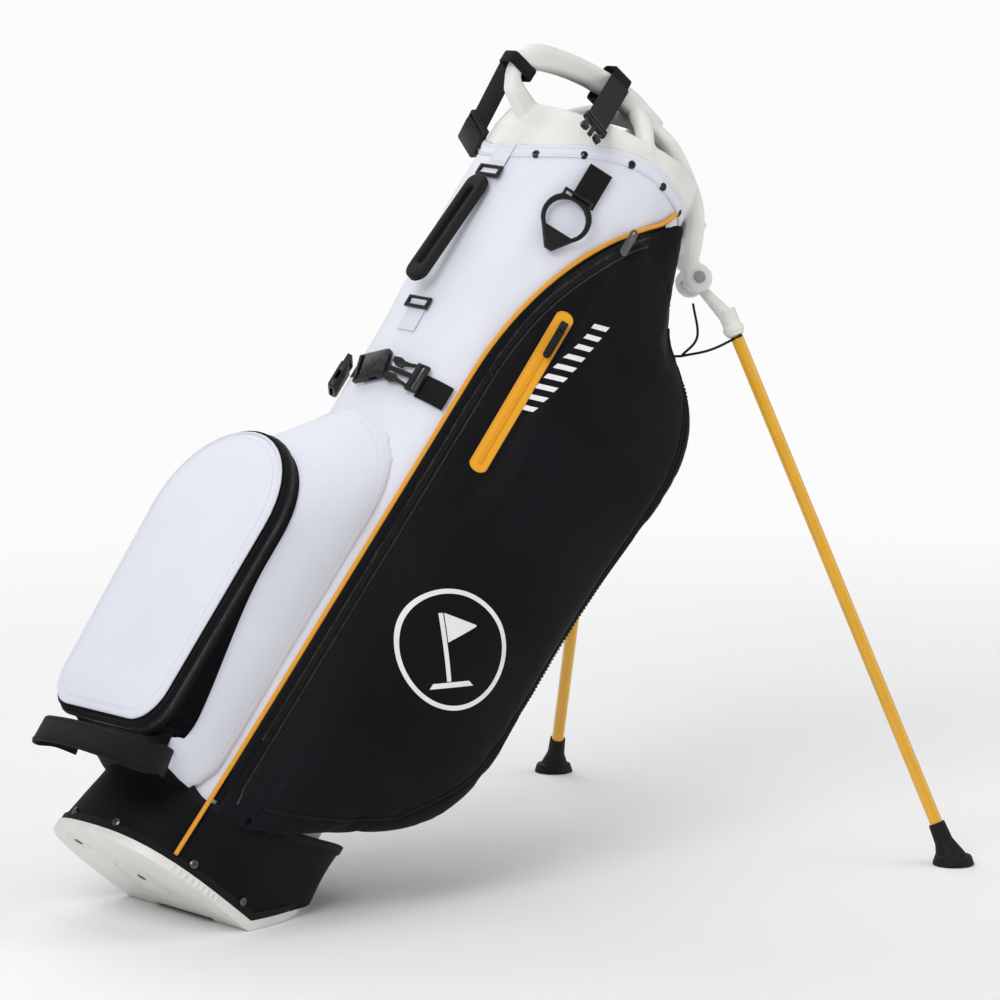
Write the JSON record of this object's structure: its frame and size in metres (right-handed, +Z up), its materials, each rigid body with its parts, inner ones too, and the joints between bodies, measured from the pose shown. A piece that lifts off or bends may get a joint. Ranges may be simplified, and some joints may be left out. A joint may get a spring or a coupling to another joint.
{
  "type": "golf stand bag",
  "caption": "Leaning golf stand bag with moulded carry top, club dividers, side and front pockets, and two folding legs with rubber feet coupled to a hinged kick plate.",
  "frame": {"origin": "on the floor, in the middle of the bounding box of the bag as it leans on its open legs", "axes": "+Z up; +X from the front pocket towards the legs, level; +Y to the far side, away from the towel ring"},
  "size_m": [0.8668, 0.654, 0.8046],
  "materials": {
    "white_fabric": "smooth coated polyester, soft sheen",
    "white_plastic": "moulded, satin",
    "black_fabric": "ballistic weave, matt",
    "black_webbing": "ribbed webbing",
    "black_plastic": "moulded, satin",
    "black_rubber": "matt rubber",
    "orange_trim": "coated piping and zip tape",
    "yellow_paint": "glossy amber paint on aluminium tube",
    "steel": "plated steel"
  },
  "bodies": {
    "bag": {"body_sleeve": "white_fabric", "boot": "black_fabric", "base_cup": "white_plastic", "top_moulding": "white_plastic", "collar_rivet_1": "black_plastic", "collar_rivet_2": "black_plastic", "collar_rivet_3": "black_plastic", "collar_rivet_4": "black_plastic", "collar_rivet_5": "black_plastic", "collar_rivet_6": "black_plastic", "collar_rivet_7": "black_plastic", "collar_rivet_8": "black_plastic", "collar_rivet_9": "black_plastic", "collar_rivet_10": "black_plastic", "collar_rivet_11": "black_plastic", "boot_rivet_1": "steel", "boot_rivet_2": "steel", "boot_rivet_3": "steel", "boot_rivet_4": "steel", "boot_rivet_5": "steel", "boot_rivet_6": "steel", "piping_near": "orange_trim", "piping_far": "orange_trim", "side_pocket_near": "black_fabric", "side_pocket_far": "black_fabric", "valuables_zip": "orange_trim", "front_pocket_body": "white_fabric", "front_pocket_band": "black_fabric", "front_pocket_panel": "white_fabric", "spine_pad": "black_fabric", "divider_frame": "black_plastic", "divider_cloth": "black_fabric", "carry_ring_top": "black_plastic", "carry_ring_bottom": "black_plastic", "towel_strap": "black_webbing", "mid_strap": "black_webbing", "strap_anchor_near": "black_webbing", "strap_anchor_far": "black_webbing", "leg_cord": "black_rubber", "grab_handle": "black_webbing", "pivot_screw_near": "steel", "pivot_screw_far": "steel"},
    "leg_near": {"leg_yoke_near": "white_plastic", "leg_tube_near": "yellow_paint", "foot_near": "black_rubber"},
    "leg_far": {"leg_yoke_far": "white_plastic", "leg_tube_far": "yellow_paint", "foot_far": "black_rubber"},
    "kick_plate": {"kick_plate": "black_plastic"},
    "actuator_rod": {"actuator_rod": "steel"},
    "valuables_slider": {"valuables_slider": "black_plastic"},
    "valuables_puller": {"valuables_puller": "black_plastic"},
    "apparel_puller": {"apparel_puller": "steel"},
    "towel_ring": {"towel_ring": "black_plastic"},
    "carry_grip": {"carry_grip": "black_rubber"},
    "buckle_near": {"anchor_buckle_near": "black_plastic"},
    "buckle_far": {"anchor_buckle_far": "black_plastic"},
    "mid_female": {"mid_buckle_female": "black_plastic"},
    "mid_male": {"mid_buckle_male": "black_plastic"},
    "mid_far": {"mid_buckle_far": "black_plastic"}
  },
  "joints": [
    {"name": "leg_near_fold", "type": "hinge", "parent": "bag", "child": "leg_near", "pos_m": [0.28468, -0.06, 0.5681], "axis": [0.3607, 0.8858, -0.2921], "range_deg": [0, 52], "deforming": ["leg_cord"]},
    {"name": "leg_far_fold", "type": "hinge", "parent": "bag", "child": "leg_far", "pos_m": [0.28468, 0.06, 0.5681], "axis": [-0.3607, 0.8858, 0.2921], "range_deg": [0, 52.1]},
    {"name": "kick_plate_hinge", "type": "hinge", "parent": "bag", "child": "kick_plate", "pos_m": [-0.29479, 0, 0.008], "axis": [0, 1, 0], "range_deg": [0, 38]},
    {"name": "actuator_rod_slide", "type": "slide", "parent": "bag", "child": "actuator_rod", "axis": [-0.6293, 0, -0.7771], "range_m": [0, 0.0331]},
    {"name": "valuables_zip_slide", "type": "slide", "parent": "bag", "child": "valuables_slider", "axis": [-0.6293, 0, -0.7771], "range_m": [0, 0.145]},
    {"name": "valuables_puller_hinge", "type": "hinge", "parent": "valuables_slider", "child": "valuables_puller", "pos_m": [0.06356, -0.11879, 0.53877], "axis": [-0.6661, 0.5152, 0.5394], "range_deg": [0, 60]},
    {"name": "apparel_puller_hinge", "type": "hinge", "parent": "bag", "child": "apparel_puller", "pos_m": [0.158, -0.11693, 0.62699], "axis": [0.7767, -0.0349, -0.6289], "range_deg": [0, 30]},
    {"name": "towel_ring_hinge", "type": "hinge", "parent": "bag", "child": "towel_ring", "pos_m": [0.11053, -0.0884, 0.66157], "axis": [-0.6518, 0.5446, 0.5278], "range_deg": [0, 70]},
    {"name": "carry_grip_lift", "type": "slide", "parent": "bag", "child": "carry_grip", "axis": [-0.7742, -0.0872, 0.6269], "range_m": [0, 0.012]},
    {"name": "buckle_near_swing", "type": "hinge", "parent": "bag", "child": "buckle_near", "pos_m": [0.1229, -0.09736, 0.73036], "axis": [-0.5301, 0.3546, 0.7702], "range_deg": [0, 40]},
    {"name": "buckle_far_swing", "type": "hinge", "parent": "bag", "child": "buckle_far", "pos_m": [0.11202, 0.06677, 0.72402], "axis": [0.0266, 0.7269, 0.6862], "range_deg": [0, 20]},
    {"name": "mid_female_swing", "type": "hinge", "parent": "bag", "child": "mid_female", "pos_m": [-0.07891, 0.01317, 0.49865], "axis": [-0.5775, -0.3416, -0.7415], "range_deg": [0, 35]},
    {"name": "mid_male_swing", "type": "hinge", "parent": "bag", "child": "mid_male", "pos_m": [-0.06233, -0.05504, 0.49402], "axis": [0.6293, 0, 0.7771], "range_deg": [0, 10]},
    {"name": "mid_far_swing", "type": "hinge", "parent": "bag", "child": "mid_far", "pos_m": [-0.04065, 0.07985, 0.49706], "axis": [0.559, 0.6947, -0.4527], "range_deg": [0, 35]}
  ],
  "couplings": [
    {"joint": "leg_far_fold", "follows": "leg_near_fold", "ratio": 1},
    {"joint": "kick_plate_hinge", "follows": "leg_near_fold", "ratio": 0.7276},
    {"joint": "actuator_rod_slide", "follows": "leg_near_fold", "m_per_rad": 0.03636}
  ]
}
